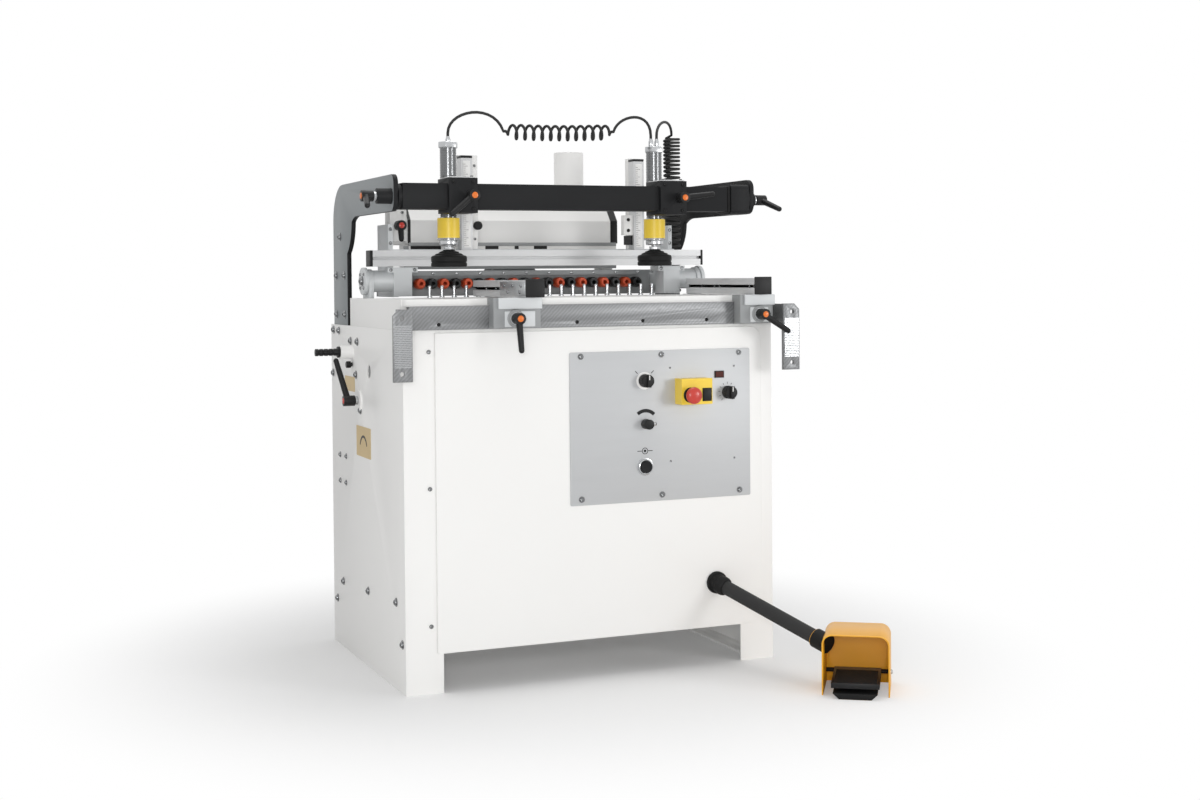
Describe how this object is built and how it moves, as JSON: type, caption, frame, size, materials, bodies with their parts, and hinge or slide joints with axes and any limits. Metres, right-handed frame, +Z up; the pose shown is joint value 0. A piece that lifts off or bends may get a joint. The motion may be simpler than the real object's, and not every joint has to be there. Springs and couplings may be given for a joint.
{
  "type": "line boring machine",
  "caption": "Multi-spindle line boring machine: cabinet with table and fences, tilting geared drill head, overhead beam with two pneumatic clamps, foot pedal.",
  "frame": {"origin": "on the floor at the centre of the cabinet's four fixing holes", "axes": "+X along the spindle row to the operator's right, +Y from the operator to the rear, +Z up"},
  "size_m": [1.1634, 1.1495, 1.3618],
  "materials": {
    "white_paint": "fine textured off-white powder coat",
    "plate_paint": "satin light blue-grey",
    "arm_paint": "satin grey paint",
    "cast_paint": "light grey paint on castings",
    "charcoal_paint": "satin charcoal paint",
    "yellow_paint": "gloss golden yellow paint",
    "steel": "machined bright steel",
    "fence_alloy": "satin anodised aluminium",
    "foot_rubber": "matt black rubber",
    "hose_rubber": "semi-matt black hose",
    "lever_plastic": "matt black moulded plastic",
    "stop_red": "gloss red plastic",
    "chuck_black": "black oxide steel",
    "chuck_red": "red anodised steel"
  },
  "bodies": {
    "frame": {"cabinet": "white_paint", "front_cover": "white_paint", "control_plate": "plate_paint", "table": "white_paint", "front_rail": "steel", "clamp_arms": "arm_paint", "pedal_guard": "yellow_paint", "pedal_hose": "hose_rubber", "supply_coil": "hose_rubber"},
    "lift": {"lift_carriage": "cast_paint"},
    "tilt": {"tilt_frame": "cast_paint"},
    "feed": {"gear_case": "cast_paint", "motor": "charcoal_paint", "hood": "white_paint"},
    "fence": {"rear_fence": "fence_alloy"},
    "beam": {"clamp_beam": "charcoal_paint", "air_coil": "hose_rubber"},
    "beam_levers": {"beam_levers": "lever_plastic"},
    "spindle_01": {"spindle_01": "chuck_black"},
    "spindle_02": {"spindle_02": "chuck_red"},
    "spindle_03": {"spindle_03": "chuck_black"},
    "spindle_04": {"spindle_04": "chuck_red"},
    "spindle_05": {"spindle_05": "chuck_black"},
    "spindle_06": {"spindle_06": "chuck_red"},
    "spindle_07": {"spindle_07": "chuck_black"},
    "spindle_08": {"spindle_08": "chuck_red"},
    "spindle_09": {"spindle_09": "chuck_black"},
    "spindle_10": {"spindle_10": "chuck_red"},
    "spindle_11": {"spindle_11": "chuck_black"},
    "spindle_12": {"spindle_12": "chuck_red"},
    "spindle_13": {"spindle_13": "chuck_black"},
    "spindle_14": {"spindle_14": "chuck_red"},
    "spindle_15": {"spindle_15": "chuck_black"},
    "spindle_16": {"spindle_16": "chuck_red"},
    "spindle_17": {"spindle_17": "chuck_black"},
    "spindle_18": {"spindle_18": "chuck_red"},
    "spindle_19": {"spindle_19": "chuck_black"},
    "spindle_20": {"spindle_20": "chuck_red"},
    "spindle_21": {"spindle_21": "chuck_black"},
    "left_fence": {"left_side_fence": "fence_alloy"},
    "left_fence_lever": {"left_side_lever": "lever_plastic"},
    "left_carriage": {"left_carriage": "charcoal_paint"},
    "left_carriage_lever": {"left_carriage_lever": "lever_plastic"},
    "left_cylinder": {"left_cylinder": "yellow_paint"},
    "left_foot": {"left_foot": "foot_rubber"},
    "right_fence": {"right_side_fence": "fence_alloy"},
    "right_fence_lever": {"right_side_lever": "lever_plastic"},
    "right_carriage": {"right_carriage": "charcoal_paint"},
    "right_carriage_lever": {"right_carriage_lever": "lever_plastic"},
    "right_cylinder": {"right_cylinder": "yellow_paint"},
    "right_foot": {"right_foot": "foot_rubber"},
    "stop_button": {"stop_button": "stop_red"},
    "selector_knob": {"selector_knob": "lever_plastic"},
    "timer_knob": {"timer_knob": "lever_plastic"},
    "regulator_knob": {"regulator_knob": "lever_plastic"},
    "push_button": {"push_button": "steel"},
    "index_plunger": {"index_plunger": "lever_plastic"},
    "head_lever": {"head_lever": "lever_plastic"},
    "hood_lever": {"hood_lever": "lever_plastic"},
    "pedal": {"pedal": "lever_plastic"}
  },
  "joints": [
    {"name": "head_lift", "type": "slide", "parent": "frame", "child": "lift", "axis": [0, 0, 1], "range_m": [-0.005, 0.03]},
    {"name": "head_tilt", "type": "hinge", "parent": "lift", "child": "tilt", "pos_m": [0, 0.045, 0.945], "axis": [1, 0, 0], "range_deg": [-90, 0]},
    {"name": "head_feed", "type": "slide", "parent": "tilt", "child": "feed", "axis": [0, -1, 0], "range_m": [0, 0.055]},
    {"name": "fence_rise", "type": "slide", "parent": "tilt", "child": "fence", "axis": [0, 0, 1], "range_m": [0, 0.15]},
    {"name": "spindle_01_spin", "type": "hinge", "parent": "feed", "child": "spindle_01", "pos_m": [-0.32, 0.128, 0.937], "axis": [0, 1, 0], "continuous": true},
    {"name": "spindle_02_spin", "type": "hinge", "parent": "feed", "child": "spindle_02", "pos_m": [-0.288, 0.128, 0.937], "axis": [0, 1, 0], "continuous": true},
    {"name": "spindle_03_spin", "type": "hinge", "parent": "feed", "child": "spindle_03", "pos_m": [-0.256, 0.128, 0.937], "axis": [0, 1, 0], "continuous": true},
    {"name": "spindle_04_spin", "type": "hinge", "parent": "feed", "child": "spindle_04", "pos_m": [-0.224, 0.128, 0.937], "axis": [0, 1, 0], "continuous": true},
    {"name": "spindle_05_spin", "type": "hinge", "parent": "feed", "child": "spindle_05", "pos_m": [-0.192, 0.128, 0.937], "axis": [0, 1, 0], "continuous": true},
    {"name": "spindle_06_spin", "type": "hinge", "parent": "feed", "child": "spindle_06", "pos_m": [-0.16, 0.128, 0.937], "axis": [0, 1, 0], "continuous": true},
    {"name": "spindle_07_spin", "type": "hinge", "parent": "feed", "child": "spindle_07", "pos_m": [-0.128, 0.128, 0.937], "axis": [0, 1, 0], "continuous": true},
    {"name": "spindle_08_spin", "type": "hinge", "parent": "feed", "child": "spindle_08", "pos_m": [-0.096, 0.128, 0.937], "axis": [0, 1, 0], "continuous": true},
    {"name": "spindle_09_spin", "type": "hinge", "parent": "feed", "child": "spindle_09", "pos_m": [-0.064, 0.128, 0.937], "axis": [0, 1, 0], "continuous": true},
    {"name": "spindle_10_spin", "type": "hinge", "parent": "feed", "child": "spindle_10", "pos_m": [-0.032, 0.128, 0.937], "axis": [0, 1, 0], "continuous": true},
    {"name": "spindle_11_spin", "type": "hinge", "parent": "feed", "child": "spindle_11", "pos_m": [0, 0.128, 0.937], "axis": [0, 1, 0], "continuous": true},
    {"name": "spindle_12_spin", "type": "hinge", "parent": "feed", "child": "spindle_12", "pos_m": [0.032, 0.128, 0.937], "axis": [0, 1, 0], "continuous": true},
    {"name": "spindle_13_spin", "type": "hinge", "parent": "feed", "child": "spindle_13", "pos_m": [0.064, 0.128, 0.937], "axis": [0, 1, 0], "continuous": true},
    {"name": "spindle_14_spin", "type": "hinge", "parent": "feed", "child": "spindle_14", "pos_m": [0.096, 0.128, 0.937], "axis": [0, 1, 0], "continuous": true},
    {"name": "spindle_15_spin", "type": "hinge", "parent": "feed", "child": "spindle_15", "pos_m": [0.128, 0.128, 0.937], "axis": [0, 1, 0], "continuous": true},
    {"name": "spindle_16_spin", "type": "hinge", "parent": "feed", "child": "spindle_16", "pos_m": [0.16, 0.128, 0.937], "axis": [0, 1, 0], "continuous": true},
    {"name": "spindle_17_spin", "type": "hinge", "parent": "feed", "child": "spindle_17", "pos_m": [0.192, 0.128, 0.937], "axis": [0, 1, 0], "continuous": true},
    {"name": "spindle_18_spin", "type": "hinge", "parent": "feed", "child": "spindle_18", "pos_m": [0.224, 0.128, 0.937], "axis": [0, 1, 0], "continuous": true},
    {"name": "spindle_19_spin", "type": "hinge", "parent": "feed", "child": "spindle_19", "pos_m": [0.256, 0.128, 0.937], "axis": [0, 1, 0], "continuous": true},
    {"name": "spindle_20_spin", "type": "hinge", "parent": "feed", "child": "spindle_20", "pos_m": [0.288, 0.128, 0.937], "axis": [0, 1, 0], "continuous": true},
    {"name": "spindle_21_spin", "type": "hinge", "parent": "feed", "child": "spindle_21", "pos_m": [0.32, 0.128, 0.937], "axis": [0, 1, 0], "continuous": true},
    {"name": "left_fence_slide", "type": "slide", "parent": "frame", "child": "left_fence", "axis": [1, 0, 0], "range_m": [-0.12, 0.25]},
    {"name": "left_fence_lever_turn", "type": "hinge", "parent": "left_fence", "child": "left_fence_lever", "pos_m": [-0.217, -0.379, 0.857], "axis": [0, 1, 0], "range_deg": [-60, 60]},
    {"name": "left_carriage_slide", "type": "slide", "parent": "beam", "child": "left_carriage", "axis": [1, 0, 0], "range_m": [-0.1, 0.15], "deforming": ["air_coil"]},
    {"name": "left_carriage_lever_turn", "type": "hinge", "parent": "left_carriage", "child": "left_carriage_lever", "pos_m": [-0.29, -0.279, 1.143], "axis": [0, 1, 0], "range_deg": [-60, 60]},
    {"name": "left_cylinder_height", "type": "slide", "parent": "left_carriage", "child": "left_cylinder", "axis": [0, 0, 1], "range_m": [-0.05, 0.015]},
    {"name": "left_foot_press", "type": "slide", "parent": "left_cylinder", "child": "left_foot", "axis": [0, 0, -1], "range_m": [0, 0.04], "stiffness_N_per_m": 300, "springref_m": -0.04},
    {"name": "right_fence_slide", "type": "slide", "parent": "frame", "child": "right_fence", "axis": [1, 0, 0], "range_m": [-0.25, 0.01]},
    {"name": "right_fence_lever_turn", "type": "hinge", "parent": "right_fence", "child": "right_fence_lever", "pos_m": [0.416, -0.379, 0.857], "axis": [0, 1, 0], "range_deg": [-60, 60]},
    {"name": "right_carriage_slide", "type": "slide", "parent": "beam", "child": "right_carriage", "axis": [1, 0, 0], "range_m": [-0.16, 0.1], "deforming": ["supply_coil"]},
    {"name": "right_carriage_lever_turn", "type": "hinge", "parent": "right_carriage", "child": "right_carriage_lever", "pos_m": [0.25, -0.279, 1.143], "axis": [0, 1, 0], "range_deg": [-60, 60]},
    {"name": "right_cylinder_height", "type": "slide", "parent": "right_carriage", "child": "right_cylinder", "axis": [0, 0, 1], "range_m": [-0.05, 0.015]},
    {"name": "right_foot_press", "type": "slide", "parent": "right_cylinder", "child": "right_foot", "axis": [0, 0, -1], "range_m": [0, 0.04], "stiffness_N_per_m": 300, "springref_m": -0.04},
    {"name": "beam_pivot", "type": "hinge", "parent": "frame", "child": "beam", "pos_m": [0, -0.235, 1.142], "axis": [1, 0, 0], "range_deg": [-90, 0]},
    {"name": "beam_levers_turn", "type": "hinge", "parent": "beam", "child": "beam_levers", "pos_m": [0, -0.235, 1.142], "axis": [1, 0, 0], "range_deg": [-60, 60]},
    {"name": "stop_push", "type": "slide", "parent": "frame", "child": "stop_button", "axis": [0, 1, 0], "range_m": [0, 0.005]},
    {"name": "selector_turn", "type": "hinge", "parent": "frame", "child": "selector_knob", "pos_m": [0.124, -0.342, 0.701], "axis": [0, 1, 0], "range_deg": [-45, 45]},
    {"name": "timer_turn", "type": "hinge", "parent": "frame", "child": "timer_knob", "pos_m": [0.347, -0.342, 0.666], "axis": [0, 1, 0], "range_deg": [-140, 140]},
    {"name": "regulator_turn", "type": "hinge", "parent": "frame", "child": "regulator_knob", "pos_m": [0.126, -0.342, 0.597], "axis": [0, 1, 0], "range_deg": [-135, 135]},
    {"name": "push_in", "type": "slide", "parent": "frame", "child": "push_button", "axis": [0, 1, 0], "range_m": [0, 0.003], "stiffness_N_per_m": 400, "springref_m": -0.004},
    {"name": "plunger_pull", "type": "slide", "parent": "frame", "child": "index_plunger", "axis": [-1, 0, 0], "range_m": [0, 0.012], "stiffness_N_per_m": 800, "springref_m": -0.008},
    {"name": "head_lever_turn", "type": "hinge", "parent": "frame", "child": "head_lever", "pos_m": [-0.473, 0.051, 0.65], "axis": [1, 0, 0], "range_deg": [0, 75]},
    {"name": "hood_lever_turn", "type": "hinge", "parent": "feed", "child": "hood_lever", "pos_m": [-0.345, 0.14, 1.086], "axis": [0, 1, 0], "range_deg": [-50, 50]},
    {"name": "pedal_press", "type": "hinge", "parent": "frame", "child": "pedal", "pos_m": [0.5219, -0.65437, 0.03], "axis": [0.829, -0.5592, 0], "range_deg": [0, 3.4], "stiffness_Nm_per_rad": 60, "springref_deg": -3.44}
  ],
  "couplings": [
    {"joint": "spindle_01_spin", "follows": "spindle_11_spin", "ratio": 1},
    {"joint": "spindle_02_spin", "follows": "spindle_11_spin", "ratio": -1},
    {"joint": "spindle_03_spin", "follows": "spindle_11_spin", "ratio": 1},
    {"joint": "spindle_04_spin", "follows": "spindle_11_spin", "ratio": -1},
    {"joint": "spindle_05_spin", "follows": "spindle_11_spin", "ratio": 1},
    {"joint": "spindle_06_spin", "follows": "spindle_11_spin", "ratio": -1},
    {"joint": "spindle_07_spin", "follows": "spindle_11_spin", "ratio": 1},
    {"joint": "spindle_08_spin", "follows": "spindle_11_spin", "ratio": -1},
    {"joint": "spindle_09_spin", "follows": "spindle_11_spin", "ratio": 1},
    {"joint": "spindle_10_spin", "follows": "spindle_11_spin", "ratio": -1},
    {"joint": "spindle_12_spin", "follows": "spindle_11_spin", "ratio": -1},
    {"joint": "spindle_13_spin", "follows": "spindle_11_spin", "ratio": 1},
    {"joint": "spindle_14_spin", "follows": "spindle_11_spin", "ratio": -1},
    {"joint": "spindle_15_spin", "follows": "spindle_11_spin", "ratio": 1},
    {"joint": "spindle_16_spin", "follows": "spindle_11_spin", "ratio": -1},
    {"joint": "spindle_17_spin", "follows": "spindle_11_spin", "ratio": 1},
    {"joint": "spindle_18_spin", "follows": "spindle_11_spin", "ratio": -1},
    {"joint": "spindle_19_spin", "follows": "spindle_11_spin", "ratio": 1},
    {"joint": "spindle_20_spin", "follows": "spindle_11_spin", "ratio": -1},
    {"joint": "spindle_21_spin", "follows": "spindle_11_spin", "ratio": 1}
  ]
}
